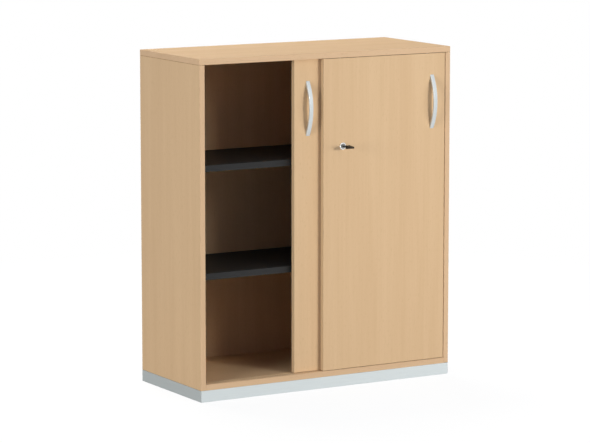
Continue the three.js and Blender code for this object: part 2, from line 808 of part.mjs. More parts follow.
// The key's head is a fork round the blade's rolled end and folds up or down about its pin.
function keyHead(place) {
  const side = headBlank(headSide(), HEAD_WIDTH).rotateX(Math.PI / 2);
  const plan = headBlank(headPlan(), 2 * KNUCKLE_RADIUS);
  const blank = common(side, plan).rotateZ(-Math.PI / 2).translate(place.x, foldY, place.z);
  const slot = block(
    [place.x - BLADE_WIDTH / 2 - FIT, place.x + BLADE_WIDTH / 2 + FIT],
    [foldY - EYE_RADIUS - FIT, foldY + KNUCKLE_RADIUS + OVERRUN],
    [place.z - KNUCKLE_RADIUS - OVERRUN, place.z + KNUCKLE_RADIUS + OVERRUN],
  );
  const bore = foldRod(KEY_PIN_RADIUS + FIT, KNUCKLE_WIDTH + 2 * OVERRUN, place, SMALL_SIDES);
  piece('key_head', cut(blank, [slot, bore]), 'darkPlastic');
}

function lockAndKey() {
  const place = { x: lockX, z: lockZ };
  lockHousing(place);
  lockCylinder(place);
  lockPlug(place);
  keyBlade(place);
  keyHead(place);
}

function doors() {
  const strikerX = lockX + leftDoorTravel;
  const strikerBed = rod(
    'y',
    STRIKER_RADIUS + FIT,
    [leftDoor.y[0] - OVERRUN, leftDoor.y[0] + STRIKER_DEPTH + FIT],
    { x: strikerX, z: lockZ },
    ROUND_SIDES,
  );
  const lockBore = rod(
    'y',
    SLEEVE_RADIUS + FIT,
    [rightDoor.y[0] - OVERRUN, rightDoor.y[1] + OVERRUN],
    { x: lockX, z: lockZ },
    ROUND_SIDES,
  );
  slidingDoor('left', leftDoor, leftDoor.x[0] + HANDLE_INSET, [strikerBed]);
  slidingDoor('right', rightDoor, rightDoor.x[1] - HANDLE_INSET, [lockBore]);
  striker(strikerX);
}

topPanel();
bottomPanel();
sidePanel('left_side', -1);
sidePanel('right_side', 1);
backPanel();
plinth();
levellingFeet();
shelves();
track('front_track', rightDoor);
track('rear_track', leftDoor);
upperGuideRail();
doorStops();
doors();
lockAndKey();

export default cabinet;
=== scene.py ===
"""A low office cabinet with two sliding doors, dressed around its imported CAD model.

Blender works in metres in the CAD's own frame: +Z is up, the front faces -Y, the left end is at -X.
Sizes written here are millimetres and become metres where a mesh is made.
"""

import json
import logging
import math
from collections.abc import Callable, Iterable, Sequence
from dataclasses import dataclass
from enum import Enum, IntEnum

import bmesh
import bpy
from mathutils import Euler, Matrix, Vector


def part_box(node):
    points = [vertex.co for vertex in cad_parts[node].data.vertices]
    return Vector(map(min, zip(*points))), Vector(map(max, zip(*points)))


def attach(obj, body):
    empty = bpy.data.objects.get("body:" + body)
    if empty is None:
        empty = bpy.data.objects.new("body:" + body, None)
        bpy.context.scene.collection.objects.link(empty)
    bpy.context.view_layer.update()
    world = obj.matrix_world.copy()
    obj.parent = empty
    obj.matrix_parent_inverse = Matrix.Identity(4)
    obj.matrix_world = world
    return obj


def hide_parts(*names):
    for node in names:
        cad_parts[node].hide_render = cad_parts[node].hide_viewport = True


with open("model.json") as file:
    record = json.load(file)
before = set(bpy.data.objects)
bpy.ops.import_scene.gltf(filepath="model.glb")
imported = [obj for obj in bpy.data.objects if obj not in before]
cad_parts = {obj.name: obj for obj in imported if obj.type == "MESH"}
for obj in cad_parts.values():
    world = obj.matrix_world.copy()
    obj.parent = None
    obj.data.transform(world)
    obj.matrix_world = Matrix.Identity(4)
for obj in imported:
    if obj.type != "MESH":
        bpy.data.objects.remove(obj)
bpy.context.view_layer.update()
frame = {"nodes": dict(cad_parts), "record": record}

log = logging.getLogger("cabinet")

MM = 0.001
MERGE = 1e-6  # metres within which two corners are the same corner
TOUCH = 1e-5  # metres within which a point lies on a face of a box
FLAT = math.radians(0.3)  # faces that meet at less than this are one flat face
CREASE = math.radians(32)  # edges sharper than this stay sharp in the shading
SQUARE = 0.995  # a face whose normal has less than this along every axis belongs to a rounding
BODY_OF = {
    node: body
    for body, nodes in frame["record"]["behaviour"]["bodies"].items()
    for node in nodes
}

Box = tuple[Vector, Vector]  # lowest and highest corner, in metres
Cell = tuple[float, float]  # width and length of one cell of a pattern, in mm
Colour = tuple[float, float, float, float]
Corner = tuple[float, float, float]  # radius, height and rounding of a turned outline, in mm
EdgeTest = Callable[[bmesh.types.BMEdge], bool]
Shape = bmesh.types.BMesh
Socket = bpy.types.NodeSocket
Tree = bpy.types.NodeTree


class Axis(Enum):
    """A direction of the cabinet, for grain, for turning and for a board's thickness."""

    ACROSS = 0
    DEEP = 1
    UPRIGHT = 2

    def from_upright(self) -> Matrix:
        """Lays a shape made about Z along this direction.

        Returns:
            The turn that does so.
        """
        turns = {
            Axis.ACROSS: Matrix.Rotation(math.radians(90), 4, "Y"),
            Axis.DEEP: Matrix.Rotation(math.radians(-90), 4, "X"),
            Axis.UPRIGHT: Matrix.Identity(4),
        }
        return turns[self]


# Colours and nodes


def linear(colour: str) -> Colour:
    """Turns an sRGB hex colour into the linear colour that a socket takes.

    Args:
        colour: Six hex digits.

    Returns:
        Red, green, blue and an alpha of 1.
    """
    levels = [int(colour[place : place + 2], 16) / 255 for place in (0, 2, 4)]
    light = [
        level / 12.92 if level <= 0.04045 else ((level + 0.055) / 1.055) ** 2.4
        for level in levels
    ]
    return (*light, 1.0)


def feed(tree: Tree, node: bpy.types.Node, inputs: dict) -> None:
    """Gives a node its values and its links.

    Args:
        tree: The node tree.
        node: The node.
        inputs: A value or a socket to link for each input, by its name or number.
    """
    for name, value in inputs.items():
        if isinstance(value, Socket):
            tree.links.new(value, node.inputs[name])
        else:
            node.inputs[name].default_value = value


def add_node(
    tree: Tree,
    kind: str,
    inputs: dict | None = None,
    stops: Sequence[tuple[float, str]] = (),
    **settings: str,
) -> bpy.types.Node:
    """Adds one node with its settings, its values and its links.

    Args:
        tree: The node tree that gets the node.
        kind: The node's type name.
        inputs: A value or a socket to link for each input, by its name or number.
        stops: Place and hex colour of each stop, for a colour ramp.
        settings: Properties of the node itself.

    Returns:
        The new node.
    """
    node = tree.nodes.new(kind)
    for name, value in settings.items():
        setattr(node, name, value)
    feed(tree, node, inputs or {})
    if stops:
        elements = node.color_ramp.elements
        for place, _ in stops[1:-1]:
            elements.new(place)
        for element, (place, colour) in zip(elements, stops):
            element.position = place
            element.color = linear(colour)
    return node


# Finishes


@dataclass(frozen=True)
class Finish:
    """A surface finish, whose material is made once and shared by the pieces that have it.

    A noise runs through its colours, and the same noise or a finer one lifts its surface.
    """

    name: str
    colours: tuple[str, ...]  # from the low to the high values of the noise
    roughness: float
    cell: Cell
    along: Axis = Axis.UPRIGHT  # the direction of the cells' length
    span: tuple[float, float] = (0.3, 0.7)  # the noise's values at the first and last colour
    detail: float = 2.0  # layers of finer noise
    metallic: float = 0.0
    gloss: float = 0.5
    wear: float = 0.0  # share by which the roughness follows the noise
    relief: Cell | None = None  # cell of the relief's own noise, where it has one
    depth: float = 0.05  # of the relief, in mm
    strength: float = 0.4  # how much of the relief shows, from 0 to 1

    def material(self) -> bpy.types.Material:
        """Makes the finish's material on its first use.

        Returns:
            The material.
        """
        found = bpy.data.materials.get(self.name)
        if found:
            return found
        made = bpy.data.materials.new(self.name)
        made.use_nodes = True
        tree = made.node_tree
        feed(tree, tree.nodes["Principled BSDF"], self.shade(tree))
        return made

    def noise(self, tree: Tree, cell: Cell, detail: float = 2.0) -> Socket:
        """Adds a noise on Object coordinates.

        Args:
            tree: The material's node tree.
            cell: Width and length of its cells in mm.
            detail: Layers of finer noise.

        Returns:
            The noise's value.
        """
        width, length = cell
        scale = [1 / (width * MM)] * 3
        scale[self.along.value] = 1 / (length * MM)
        place = add_node(tree, "ShaderNodeTexCoord").outputs["Object"]
        mapping = add_node(tree, "ShaderNodeMapping", {"Vector": place, "Scale": scale})
        inputs = {"Vector": mapping.outputs["Vector"], "Scale": 1.0, "Detail": detail}
        return add_node(tree, "ShaderNodeTexNoise", inputs).outputs["Fac"]

    def tone(self, tree: Tree) -> Socket:
        """Gives the value that the colours follow."""
        return self.noise(tree, self.cell, self.detail)

    def shade(self, tree: Tree) -> dict:
        """Adds the finish's nodes.

        Args:
            tree: The material's node tree.

        Returns:
            A value or a socket for each input of the shader that the finish sets.
        """
        tone = self.tone(tree)
        first, last = self.span
        step = (last - first) / (len(self.colours) - 1)
        stops = [(first + number * step, colour) for number, colour in enumerate(self.colours)]
        height = self.noise(tree, self.relief) if self.relief else tone
        lift = {"Height": height, "Distance": self.depth * MM, "Strength": self.strength}
        ramp = add_node(tree, "ShaderNodeValToRGB", {"Fac": tone}, stops)
        inputs = {
            "Base Color": ramp.outputs["Color"],
            "Metallic": self.metallic,
            "Roughness": self.roughness,
            "Specular IOR Level": self.gloss,
            "Normal": add_node(tree, "ShaderNodeBump", lift).outputs["Normal"],
        }
        if self.wear:
            least, most = self.roughness * (1 - self.wear), self.roughness * (1 + self.wear)
            levels = {"Value": tone, "To Min": least, "To Max": most}
            inputs["Roughness"] = add_node(tree, "ShaderNodeMapRange", levels).outputs["Result"]
        return inputs


@dataclass(frozen=True)
class BeechDecor(Finish):
    """Melamine-faced chipboard in a beech print.

    The print gives broad faint streaks and short darker flecks along the grain, and the pressed
    resin over it gives an even satin sheen with fine pores. Real flecks are 0.3 mm wide, too fine
    to show here, so they are drawn about ten times as wide.
    """

    colours: tuple[str, ...] = ("D9B58B", "DEBB91")
    roughness: float = 0.62
    cell: Cell = (42, 900)
    span: tuple[float, float] = (0.36, 0.64)
    detail: float = 3.0
    gloss: float = 0.2
    relief: Cell = (1.2, 7)
    depth: float = 0.04
    strength: float = 0.2
    line_cell: Cell = (5, 260)
    line_share: float = 0.36
    fleck: str = "CFAB80"
    fleck_cell: Cell = (3.2, 17)
    fleck_span: tuple[float, float] = (0.6, 0.74)  # the noise's values over which a fleck fades in
    fleck_share: float = 0.45

    def tone(self, tree: Tree) -> Socket:
        """Mixes broad streaks with fine lines.

        Args:
            tree: The material's node tree.

        Returns:
            The mixed value.
        """
        streaks = self.noise(tree, self.cell, self.detail)
        lines = self.noise(tree, self.line_cell)
        layers = {"Factor": self.line_share, "A": streaks, "B": lines}
        return add_node(tree, "ShaderNodeMix", layers).outputs["Result"]

    def shade(self, tree: Tree) -> dict:
        """Adds the flecks over the streaks and lines.

        Args:
            tree: The material's node tree.

        Returns:
            The shader's inputs.
        """
        inputs = super().shade(tree)
        flecks = self.noise(tree, self.fleck_cell, 1.0)
        first, last = self.fleck_span
        levels = {"Value": flecks, "From Min": first, "From Max": last, "To Max": self.fleck_share}
        layers = {
            "Fac": add_node(tree, "ShaderNodeMapRange", levels).outputs["Result"],
            "Color1": inputs["Base Color"],
            "Color2": linear(self.fleck),
        }
        inputs["Base Color"] = add_node(tree, "ShaderNodeMixRGB", layers).outputs["Color"]
        return inputs


@dataclass(frozen=True)
class Chipboard(Finish):
    """Bare chipboard where a board is cut or bored.

    Pressed chips give a matt, mottled brown face with pale and dark shreds a few millimetres long.
    """

    colours: tuple[str, ...] = ("8A6744", "B48F64", "CDAE82")
    roughness: float = 0.85
    cell: Cell = (2.5, 4)
    detail: float = 3.0
    depth: float = 0.3
    strength: float = 0.6


@dataclass(frozen=True)
class SilverLaminate(Finish):
    """Silver-grey laminate on the plinth.

    A pearly print under satin resin gives a cool pale grey with a faint drawn line along the
    board. The boards that run to the back get a darker copy of it, which is painted shade.
    """

    roughness: float = 0.5
    cell: Cell = (1.6, 120)
    span: tuple[float, float] = (0.35, 0.65)
    depth: float = 0.02
    strength: float = 0.12


@dataclass(frozen=True)
class PowderCoat(Finish):
    """Black powder coat on folded steel sheet.

    Baked powder gives a deep black with a fine orange-peel relief and a soft broad highlight. The
    peel is about 0.6 mm across and is drawn at 1.5 mm, so that it shows.
    """

    colours: tuple[str, ...] = ("0D0D0D", "131313")
    roughness: float = 0.6
    cell: Cell = (30, 30)
    span: tuple[float, float] = (0.35, 0.65)
    gloss: float = 0.45
    relief: Cell = (1.5, 1.5)
    depth: float = 0.08
    strength: float = 0.35


@dataclass(frozen=True)
class DrawnMetal(Finish):
    """A bare or plated metal whose surface keeps the fine lines of its making.

    The lines are short and thin, so the metal reads as one sheen that is drawn out across them.
    """

    detail: float = 3.0
    metallic: float = 1.0
    wear: float = 0.2
    depth: float = 0.02
    strength: float = 0.3


@dataclass(frozen=True)
class Moulded(Finish):
    """A moulded plastic or rubber with the fine grain that its mould leaves.

    The grain breaks the highlight up a little, and the colour runs slightly lighter and darker.
    """

    cell: Cell = (12, 12)
    relief: Cell = (1.0, 1.0)


DECOR = {axis: BeechDecor(f"beech_decor_{axis.name.lower()}", along=axis) for axis in Axis}
# ABS band with the same print, a touch warmer than the board.
EDGE_BAND = {
    axis: BeechDecor(
        f"beech_edge_band_{axis.name.lower()}", ("D8B38C", "DDB992"), along=axis, fleck="CFA981"
    )
    for axis in Axis
}
# The doors' band is thicker, and its darker colour is painted shade on the doors' edges.
DOOR_BAND_PAINTED_SHADE = BeechDecor("beech_door_band_painted_shade", ("C0A480", "C6AA86"), fleck="B59872")
BARE_CHIPBOARD = Chipboard("bare_chipboard")
SILVER = {
    Axis.ACROSS: SilverLaminate("silver_laminate_across", ("D9DEDB", "DDE2DF"), along=Axis.ACROSS),
    # The boards that run to the back take a darker copy of the laminate, which is painted shade.
    Axis.DEEP: SilverLaminate("silver_laminate_deep_painted_shade", ("B1B6B4", "B5BAB8"), along=Axis.DEEP),
}
BLACK_POWDER = PowderCoat("black_powder_coat")
# Silver-lacquered die casting: fine flake in clear lacquer, cooler and softer than bare metal.
HANDLE_METAL = DrawnMetal(
    "silver_lacquered_casting", ("CBD1D2", "D5DADB"), 0.42, (1.2, 6), metallic=0.8
)
# Bright nickel and chrome over brass: a mirror that the polishing has left very slightly soft.
CHROME = DrawnMetal("polished_chrome", ("E4E5E3", "F0F0EE"), 0.1, (1.5, 3), depth=0.004)
# Satin nickel on what a thumb pushes: greyer than chrome, with turning lines that blur what it
# mirrors; its dark grey beyond that is painted dark reflection and shade.
SATIN_NICKEL_PAINTED_SHADE = DrawnMetal("satin_nickel_painted_shade", ("7C7E7D", "959694"), 0.3, (0.8, 3), depth=0.01)
# Bright zinc over steel: bluish grey and softly blurred.
ZINC = DrawnMetal("bright_zinc_plate", ("A9ADB0", "C4C8CA"), 0.34, (0.9, 4))
# Steel strip with its rolling lines, oiled and dull; its nearly black colour is painted shade and
# dark reflection where the blade crosses the lock.
KEY_STEEL_PAINTED_SHADE = DrawnMetal("key_steel_painted_shade", ("1E1A17", "2B2622"), 0.5, (0.5, 14), Axis.DEEP)
# Extruded PVC in the board's colour: smooth along its length, with a low sheen.
TRACK_PLASTIC = Moulded("extruded_beige_pvc", ("CBA981", "D5B48D"), 0.45)
# Moulded ABS: dark and even, with the soft highlight of a spark-grained mould.
DARK_PLASTIC = Moulded("moulded_dark_brown_abs", ("241F1B", "332C26"), 0.48, relief=(0.8, 0.8))
# Moulded grip plastic: nearly black, and matt where fingers hold it.
KEY_PLASTIC = Moulded(
    "moulded_black_key_plastic", ("120F0C", "1C1814"), 0.55, relief=(0.7, 0.7), gloss=0.25
)
# Turned nylon: a waxy off-white with a soft shine.
NYLON = Moulded("turned_white_nylon", ("DEDBD0", "ECE9DF"), 0.38, relief=(0.9, 0.9), depth=0.03)
# Moulded rubber: dull grey, with no highlight to speak of.
RUBBER = Moulded("grey_rubber", ("494744", "5C5955"), 0.85, relief=(0.7, 0.7), depth=0.08)


# Shapes


def cad_copy(node: str) -> Shape:
    """Copies a CAD node's mesh, with its triangles merged into flat faces.

    Args:
        node: The CAD node's name.

    Returns:
        The copy, in metres and in place.
    """
    bm = bmesh.new()
    bm.from_mesh(frame["nodes"][node].data)
    bmesh.ops.remove_doubles(bm, verts=bm.verts, dist=MERGE)
    bmesh.ops.dissolve_limit(bm, angle_limit=FLAT, verts=bm.verts, edges=bm.edges)
    return bm


def measured(node: str, axis: Axis, from_high: bool = False) -> tuple[Vector, float, float]:
    """Measures a turned piece's CAD node.

    Args:
        node: The CAD node's name.
        axis: The axis that the piece is turned about.
        from_high: Whether its outline starts at the high end of that axis.

    Returns:
        The middle of the end where the outline starts in metres, its length and its radius in mm.
    """
    low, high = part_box(node)
    along = axis.value
    aside = Axis.ACROSS.value if axis is Axis.UPRIGHT else Axis.UPRIGHT.value
    start = (low + high) / 2
    start[along] = (high if from_high else low)[along]
    return start, (high[along] - low[along]) / MM, (high[aside] - low[aside]) / 2 / MM


def planes_shared(points: Iterable[Vector], box: Box) -> set[tuple[int, int]]:
    """Finds the faces of a box on which all the points lie.

    Args:
        points: The points.
        box: The box.

    Returns:
        Pairs of axis number and box end.
    """
    points = list(points)
    return {
        (axis, end)
        for axis in range(3)
        for end in range(2)
        if all(abs(point[axis] - box[end][axis]) < TOUCH for point in points)
    }


def round_edges(bm: Shape, radius: float, segments: int, wanted: EdgeTest) -> None:
    """Rounds the edges that a test picks.

    Args:
        bm: The shape.
        radius: Radius of the rounding in mm.
        segments: Faces in each rounding.
        wanted: Says of an edge whether it is rounded.
    """
    bmesh.ops.bevel(
        bm,
        geom=[edge for edge in bm.edges if wanted(edge)],
        offset=radius * MM,
        offset_type="OFFSET",
        segments=segments,
        profile=0.5,
        affect="EDGES",
        clamp_overlap=True,
        material=-1,
    )


def on_box_edge(box: Box) -> EdgeTest:
    """Gives a test for edges that lie along an edge of a box."""
    return lambda edge: len(planes_shared((v.co for v in edge.verts), box)) >= 2


def sharper_than(angle: float) -> EdgeTest:
    """Gives a test for edges whose faces meet at more than an angle in degrees."""
    return lambda edge: edge.is_manifold and edge.calc_face_angle() > math.radians(angle)


def turned(
    outline: Sequence[Corner],
    axis: Axis,
    start: Vector,
    steps: int = 48,
    closed: bool = False,
    downwards: bool = False,
) -> Shape:
    """Turns an outline about an axis into a closed solid.

    Args:
        outline: Radius, height along the axis and rounding of each corner, in mm.
        axis: The axis of turning.
        start: The point of the axis at height 0, in metres.
        steps: Faces round the solid.
        closed: Whether the outline closes on itself, as for a bored piece.
        downwards: Whether the heights run down the axis.

    Returns:
        The solid, in metres and in place.
    """
    bm = bmesh.new()
    way = -1 if downwards else 1
    corners = [bm.verts.new((radius * MM, 0, way * height * MM)) for radius, height, _ in outline]
    for pair in zip(corners, corners[1:]):
        bm.edges.new(pair)
    if closed:
        bm.edges.new((corners[-1], corners[0]))
    for corner, (_, _, rounding) in zip(corners, outline):
        if rounding:
            bmesh.ops.bevel(
                bm,
                geom=[corner],
                offset=rounding * MM,
                offset_type="OFFSET",
                segments=5,
                profile=0.5,
                affect="VERTICES",
                material=-1,
            )
    bmesh.ops.spin(
        bm,
        geom=bm.verts[:] + bm.edges[:],
        cent=(0, 0, 0),
        axis=(0, 0, 1),
        dvec=(0, 0, 0),
        angle=math.tau,
        steps=steps,
        use_merge=True,
    )
    bmesh.ops.remove_doubles(bm, verts=bm.verts, dist=MERGE)
    bmesh.ops.recalc_face_normals(bm, faces=bm.faces)
    bm.transform(Matrix.Translation(start) @ axis.from_upright())
    return bm


def block(low: Vector, high: Vector) -> Shape:
    """Makes a block.

    Args:
        low: Its lowest corner, in metres.
        high: Its highest corner, in metres.

    Returns:
        The block in place.
    """
    bm = bmesh.new()
    place = Matrix.Translation((low + high) / 2) @ Matrix.Diagonal((*(high - low), 1))
    bmesh.ops.create_cube(bm, size=1, matrix=place)
    return bm


def drawn_out(outline: Sequence[tuple[float, float]], depth: float) -> Shape:
    """Draws a flat outline out into a solid, centred on its depth.

    Args:
        outline: Points in the XY plane, in mm, anticlockwise.
        depth: How far it is drawn out along Z, in mm.

    Returns:
        The solid in metres.
    """
    bm = bmesh.new()
    face = bm.faces.new([bm.verts.new((x * MM, y * MM, -depth * MM / 2)) for x, y in outline])
    far = bmesh.ops.extrude_face_region(bm, geom=[face])["geom"]
    moved = [item for item in far if isinstance(item, bmesh.types.BMVert)]
    bmesh.ops.translate(bm, verts=moved, vec=(0, 0, depth * MM))
    bmesh.ops.recalc_face_normals(bm, faces=bm.faces)
    return bm


def set_down(name: str, data: bpy.types.ID) -> bpy.types.Object:
    """Makes an object and links it to the scene.

    Args:
        name: The object's name.
        data: Its mesh, lamp or camera.

    Returns:
        The object, at the origin.
    """
    made = bpy.data.objects.new(name, data)
    bpy.context.scene.collection.objects.link(made)
    return made


def mesh_of(name: str, bm: Shape) -> bpy.types.Mesh:
    """Makes a mesh of a shape.

    Args:
        name: The mesh's name.
        bm: The shape; it is used up.

    Returns:
        The mesh.
    """
    mesh = bpy.data.meshes.new(name)
    bm.to_mesh(mesh)
    bm.free()
    return mesh


def carved(bm: Shape, cutters: Iterable[Shape]) -> Shape:
    """Cuts closed shapes out of a closed shape.

    Args:
        bm: The shape; it is used up.
        cutters: What is cut out of it; they are used up.

    Returns:
        What is left.
    """
    for cutter in cutters:
        blank, tool = (set_down("blank", mesh_of("blank", shape)) for shape in (bm, cutter))
        modifier = blank.modifiers.new("cut", "BOOLEAN")
        modifier.operation = "DIFFERENCE"
        modifier.solver = "EXACT"
        modifier.object = tool
        result = blank.evaluated_get(bpy.context.evaluated_depsgraph_get())
        bm = bmesh.new()
        bm.from_mesh(result.data)
        for used in (blank, tool):
            mesh = used.data
            bpy.data.objects.remove(used)
            bpy.data.meshes.remove(mesh)
        bmesh.ops.remove_doubles(bm, verts=bm.verts, dist=MERGE)
    return bm


def joined(shapes: Iterable[Shape]) -> Shape:
    """Gathers shapes that belong to one piece.

    Args:
        shapes: The shapes; they are used up.

    Returns:
        All of them as one.
    """
    bm = bmesh.new()
    for shape in shapes:
        mesh = mesh_of("blank", shape)
        bm.from_mesh(mesh)
        bpy.data.meshes.remove(mesh)
    return bm


def dress(node: str, bm: Shape, finishes: Sequence[Finish], smooth: bool = True) -> None:
    """Turns a shape into the finished piece that stands for a CAD node.

    Args:
        node: The CAD node that the piece replaces, whose body it takes.
        bm: The shape in place; it is used up.
        finishes: The finishes, in the order of the faces' material numbers.
        smooth: Whether soft bends are shaded as one curve.
    """
    mesh = mesh_of(f"{node}_finished", bm)
    piece = set_down(f"{node}_finished", mesh)
    for finish in finishes:
        mesh.materials.append(finish.material())
    if smooth:
        mesh.shade_smooth()
        mesh.set_sharp_from_angle(angle=CREASE)
        normals = piece.modifiers.new("even normals", "WEIGHTED_NORMAL")
        normals.keep_sharp = True
    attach(piece, BODY_OF[node])
    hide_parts(node)
    log.info("%s: %d faces, rides on %s", piece.name, len(mesh.polygons), BODY_OF[node])


# The case


class BoardFace(IntEnum):
    """What covers a face of a board, in the order of the board's finishes."""

    DECOR = 0
    BAND = 1
    BARE = 2


@dataclass
class Board:
    """A melamine-faced board with banded edges, cut as its CAD node is."""

    node: str
    thin: Axis
    grain: Axis
    band: BeechDecor
    edge_radius: float = 0.8
    raw_ends_with_seam_shade: bool = False  # whether the upper and lower ends, hidden by other boards, have no band; their roundings then give a dark line of painted shade at the seams

    def build(self) -> None:
        """Rounds the board's outer edges and lays decor, edge band and bare cuts on its faces."""
        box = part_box(self.node)
        bm = cad_copy(self.node)
        for face in bm.faces:
            face.material_index = self.covering(face, box)
        round_edges(bm, self.edge_radius, 3, on_box_edge(box))
        for face in bm.faces:
            if max(abs(part) for part in face.normal) < SQUARE:
                face.material_index = BoardFace.BAND
        if self.raw_ends_with_seam_shade:
            self.bare_ends_with_seam_shade(bm, box)
        dress(self.node, bm, (DECOR[self.grain], self.band, BARE_CHIPBOARD), smooth=False)

    def covering(self, face: bmesh.types.BMFace, box: Box) -> BoardFace:
        """Says what covers a flat face.

        Args:
            face: The face, before its edges are rounded.
            box: The board's box.

        Returns:
            Its covering; cuts inside the board are bare.
        """
        planes = planes_shared((v.co for v in face.verts), box)
        if not planes:
            return BoardFace.BARE
        wide = any(axis == self.thin.value for axis, _ in planes)
        return BoardFace.DECOR if wide else BoardFace.BAND

    def bare_ends_with_seam_shade(self, bm: Shape, box: Box) -> None:
        """Leaves the sawn upper and lower ends bare, and the rounding that leads to them, which
        makes a dark line of painted shade at the seams.

        Args:
            bm: The board, with its edges rounded.
            box: The board's box.
        """
        reach = self.edge_radius * MM * 0.9  # the middles of the rounding's faces are within it
        low, high = box[0].z + reach, box[1].z - reach
        for face in bm.faces:
            if not low < face.calc_center_median().z < high:
                face.material_index = BoardFace.BARE


@dataclass
class Carcass:
    """The top, bottom, sides and back of the case."""

    side_radius: float = 1.1
    back_radius: float = 0.3

    def build(self) -> None:
        """Builds the five boards."""
        across, deep, upright = Axis.ACROSS, Axis.DEEP, Axis.UPRIGHT
        for name in ("top_panel", "bottom_panel"):
            Board(name, upright, across, EDGE_BAND[across]).build()
        band = EDGE_BAND[upright]
        for name in ("left_side", "right_side"):
            # The sides' sawn ends are bare, and their bare roundings give the seams a dark line of
            # painted shade.
            Board(name, across, upright, band, self.side_radius, raw_ends_with_seam_shade=True).build()
        Board("back_panel", deep, upright, band, self.back_radius).build()


@dataclass
class Plinth:
    """Four mitred laminate boards on the floor under the case."""

    edge_radius: float = 0.6

    def build(self) -> None:
        """Rounds the boards' sharp edges and lays the laminate along each of them."""
        grains = {"front": Axis.ACROSS, "back": Axis.ACROSS, "left": Axis.DEEP, "right": Axis.DEEP}
        for side, grain in grains.items():
            bm = cad_copy(f"plinth_{side}")
            round_edges(bm, self.edge_radius, 3, sharper_than(30))
            dress(f"plinth_{side}", bm, [SILVER[grain]], smooth=False)


@dataclass
class LevellingFoot:
    """A screw foot: a round pad on a threaded spindle."""

    node: str
    hollow: float = 0.6  # height of the pad's middle off the floor
    ring: float = 3.0  # width of the ring that the pad stands on
    ring_slope: float = 1.0  # width of the slope from the hollow down to it
    pad: float = 5.0
    crown: float = 6.5  # radius from which the pad's top falls towards its rim
    spindle: float = 4.0
    chamfer: float = 1.2  # fall of the pad's top, and the spindle's chamfer
    thread_pitch: float = 1.75
    thread_depth: float = 0.7
    plain: float = 1.0  # length of spindle without thread next to the pad

    def build(self) -> None:
        """Turns the pad, hollow underneath, and the spindle with its thread."""
        start, top, radius = measured(self.node, Axis.UPRIGHT)
        core = self.spindle - self.thread_depth
        outline = [
            (0, self.hollow, 0),
            (radius - self.ring - self.ring_slope, self.hollow, 0),
            (radius - self.ring, 0, 0),
            (radius, 0, 0.8),
            (radius, self.pad - self.chamfer, 1.0),
            (self.crown, self.pad, 0.4),
            (core, self.pad, 0),
        ]
        for turn in range(int((top - self.pad - 3 * self.plain) / self.thread_pitch)):
            height = self.pad + self.plain + turn * self.thread_pitch
            outline += [(core, height, 0), (self.spindle, height + self.thread_pitch / 2, 0)]
        outline += [(core, top - self.chamfer, 0), (self.spindle - self.chamfer, top, 0)]
        outline += [(0, top, 0)]
        dress(self.node, turned(outline, Axis.UPRIGHT, start, 32), [ZINC])


@dataclass
class SteelShelf:
    """A shallow folded steel tray, turned over."""

    node: str
    bend_radius: float = 1.4

    def build(self) -> None:
        """Rounds the folds along the tray's outside."""
        bm = cad_copy(self.node)
        round_edges(bm, self.bend_radius, 4, self.is_fold)
        dress(self.node, bm, [BLACK_POWDER])

    def is_fold(self, edge: bmesh.types.BMEdge) -> bool:
        """Says whether an edge is a fold."""
        planes = planes_shared((v.co for v in edge.verts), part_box(self.node))
        return len(planes) >= 2 and (Axis.UPRIGHT.value, 0) not in planes  # not the lower rim


@dataclass
class ShelfPin:
    """A turned pin: a plug in the side panel and a head under the shelf's lip."""

    node: str
    plug: float = 2.5
    plug_length: float = 8.2
    lead_in: float = 0.6
    head: float = 4.5
    groove: float = 10.6  # height of the groove's floor from the plug's end
    groove_reach: float = 0.4
    groove_depth: float = 0.5

    def build(self) -> None:
        """Turns the plug with its lead-in and the head with a groove and a rounded nose."""
        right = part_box(self.node)[0].x > 0
        start, length, _ = measured(self.node, Axis.ACROSS, from_high=right)
        outline = [
            (0, 0, 0),
            (self.plug - self.lead_in, 0, 0),
            (self.plug, 2 * self.lead_in, 0.2),
            (self.plug, self.plug_length, 0),
            (self.head, self.plug_length, 0.4),
            (self.head, self.groove - self.groove_reach, 0.2),
            (self.head - self.groove_depth, self.groove, 0.2),
            (self.head, self.groove + self.groove_reach, 0.2),
            (self.head, length, 1.0),
            (0, length, 0),
        ]
        dress(self.node, turned(outline, Axis.ACROSS, start, 32, downwards=right), [ZINC])


@dataclass
class Shelving:
    """Both steel shelves and the eight pins that carry them."""

    def build(self) -> None:
        """Builds the shelves and their pins."""
        for level in ("lower", "upper"):
            SteelShelf(f"{level}_shelf").build()
            for end in ("left", "right"):
                for row in ("front", "back"):
                    ShelfPin(f"{level}_shelf_pin_{end}_{row}").build()


@dataclass
class Runners:
    """The extruded tracks in the bottom, the guide rail in the top and the rubber stops."""

    lip_radius: float = 0.4
    pad_radius: float = 0.9
    dimple_mouth: float = 1.8
    dimple_floor: float = 1.2
    dimple_depth: float = 0.9

    def build(self) -> None:
        """Rounds the extrusions' lips and the rubber pads' faces."""
        for node in ("front_track", "rear_track", "upper_guide_rail"):
            bm = cad_copy(node)
            round_edges(bm, self.lip_radius, 3, sharper_than(60))
            dress(node, bm, [TRACK_PLASTIC])
        for use in ("left_door_closing_buffer", "right_door_closing_buffer", "left_door_open_stop"):
            self.build_pad(use)

    def build_pad(self, node: str) -> None:
        """Turns a rubber pad with a rounded face and a screw dimple in its middle.

        Args:
            node: The pad's CAD node.
        """
        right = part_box(node)[0].x > 0
        start, length, radius = measured(node, Axis.ACROSS, from_high=right)
        dimple = length - min(self.dimple_depth, length / 3)
        outline = [
            (0, 0, 0),
            (radius, 0, 0.2),
            (radius, length, self.pad_radius),
            (self.dimple_mouth, length, 0.3),
            (self.dimple_floor, dimple, 0),
            (0, dimple, 0),
        ]
        dress(node, turned(outline, Axis.ACROSS, start, 40, downwards=right), [RUBBER])


# The doors


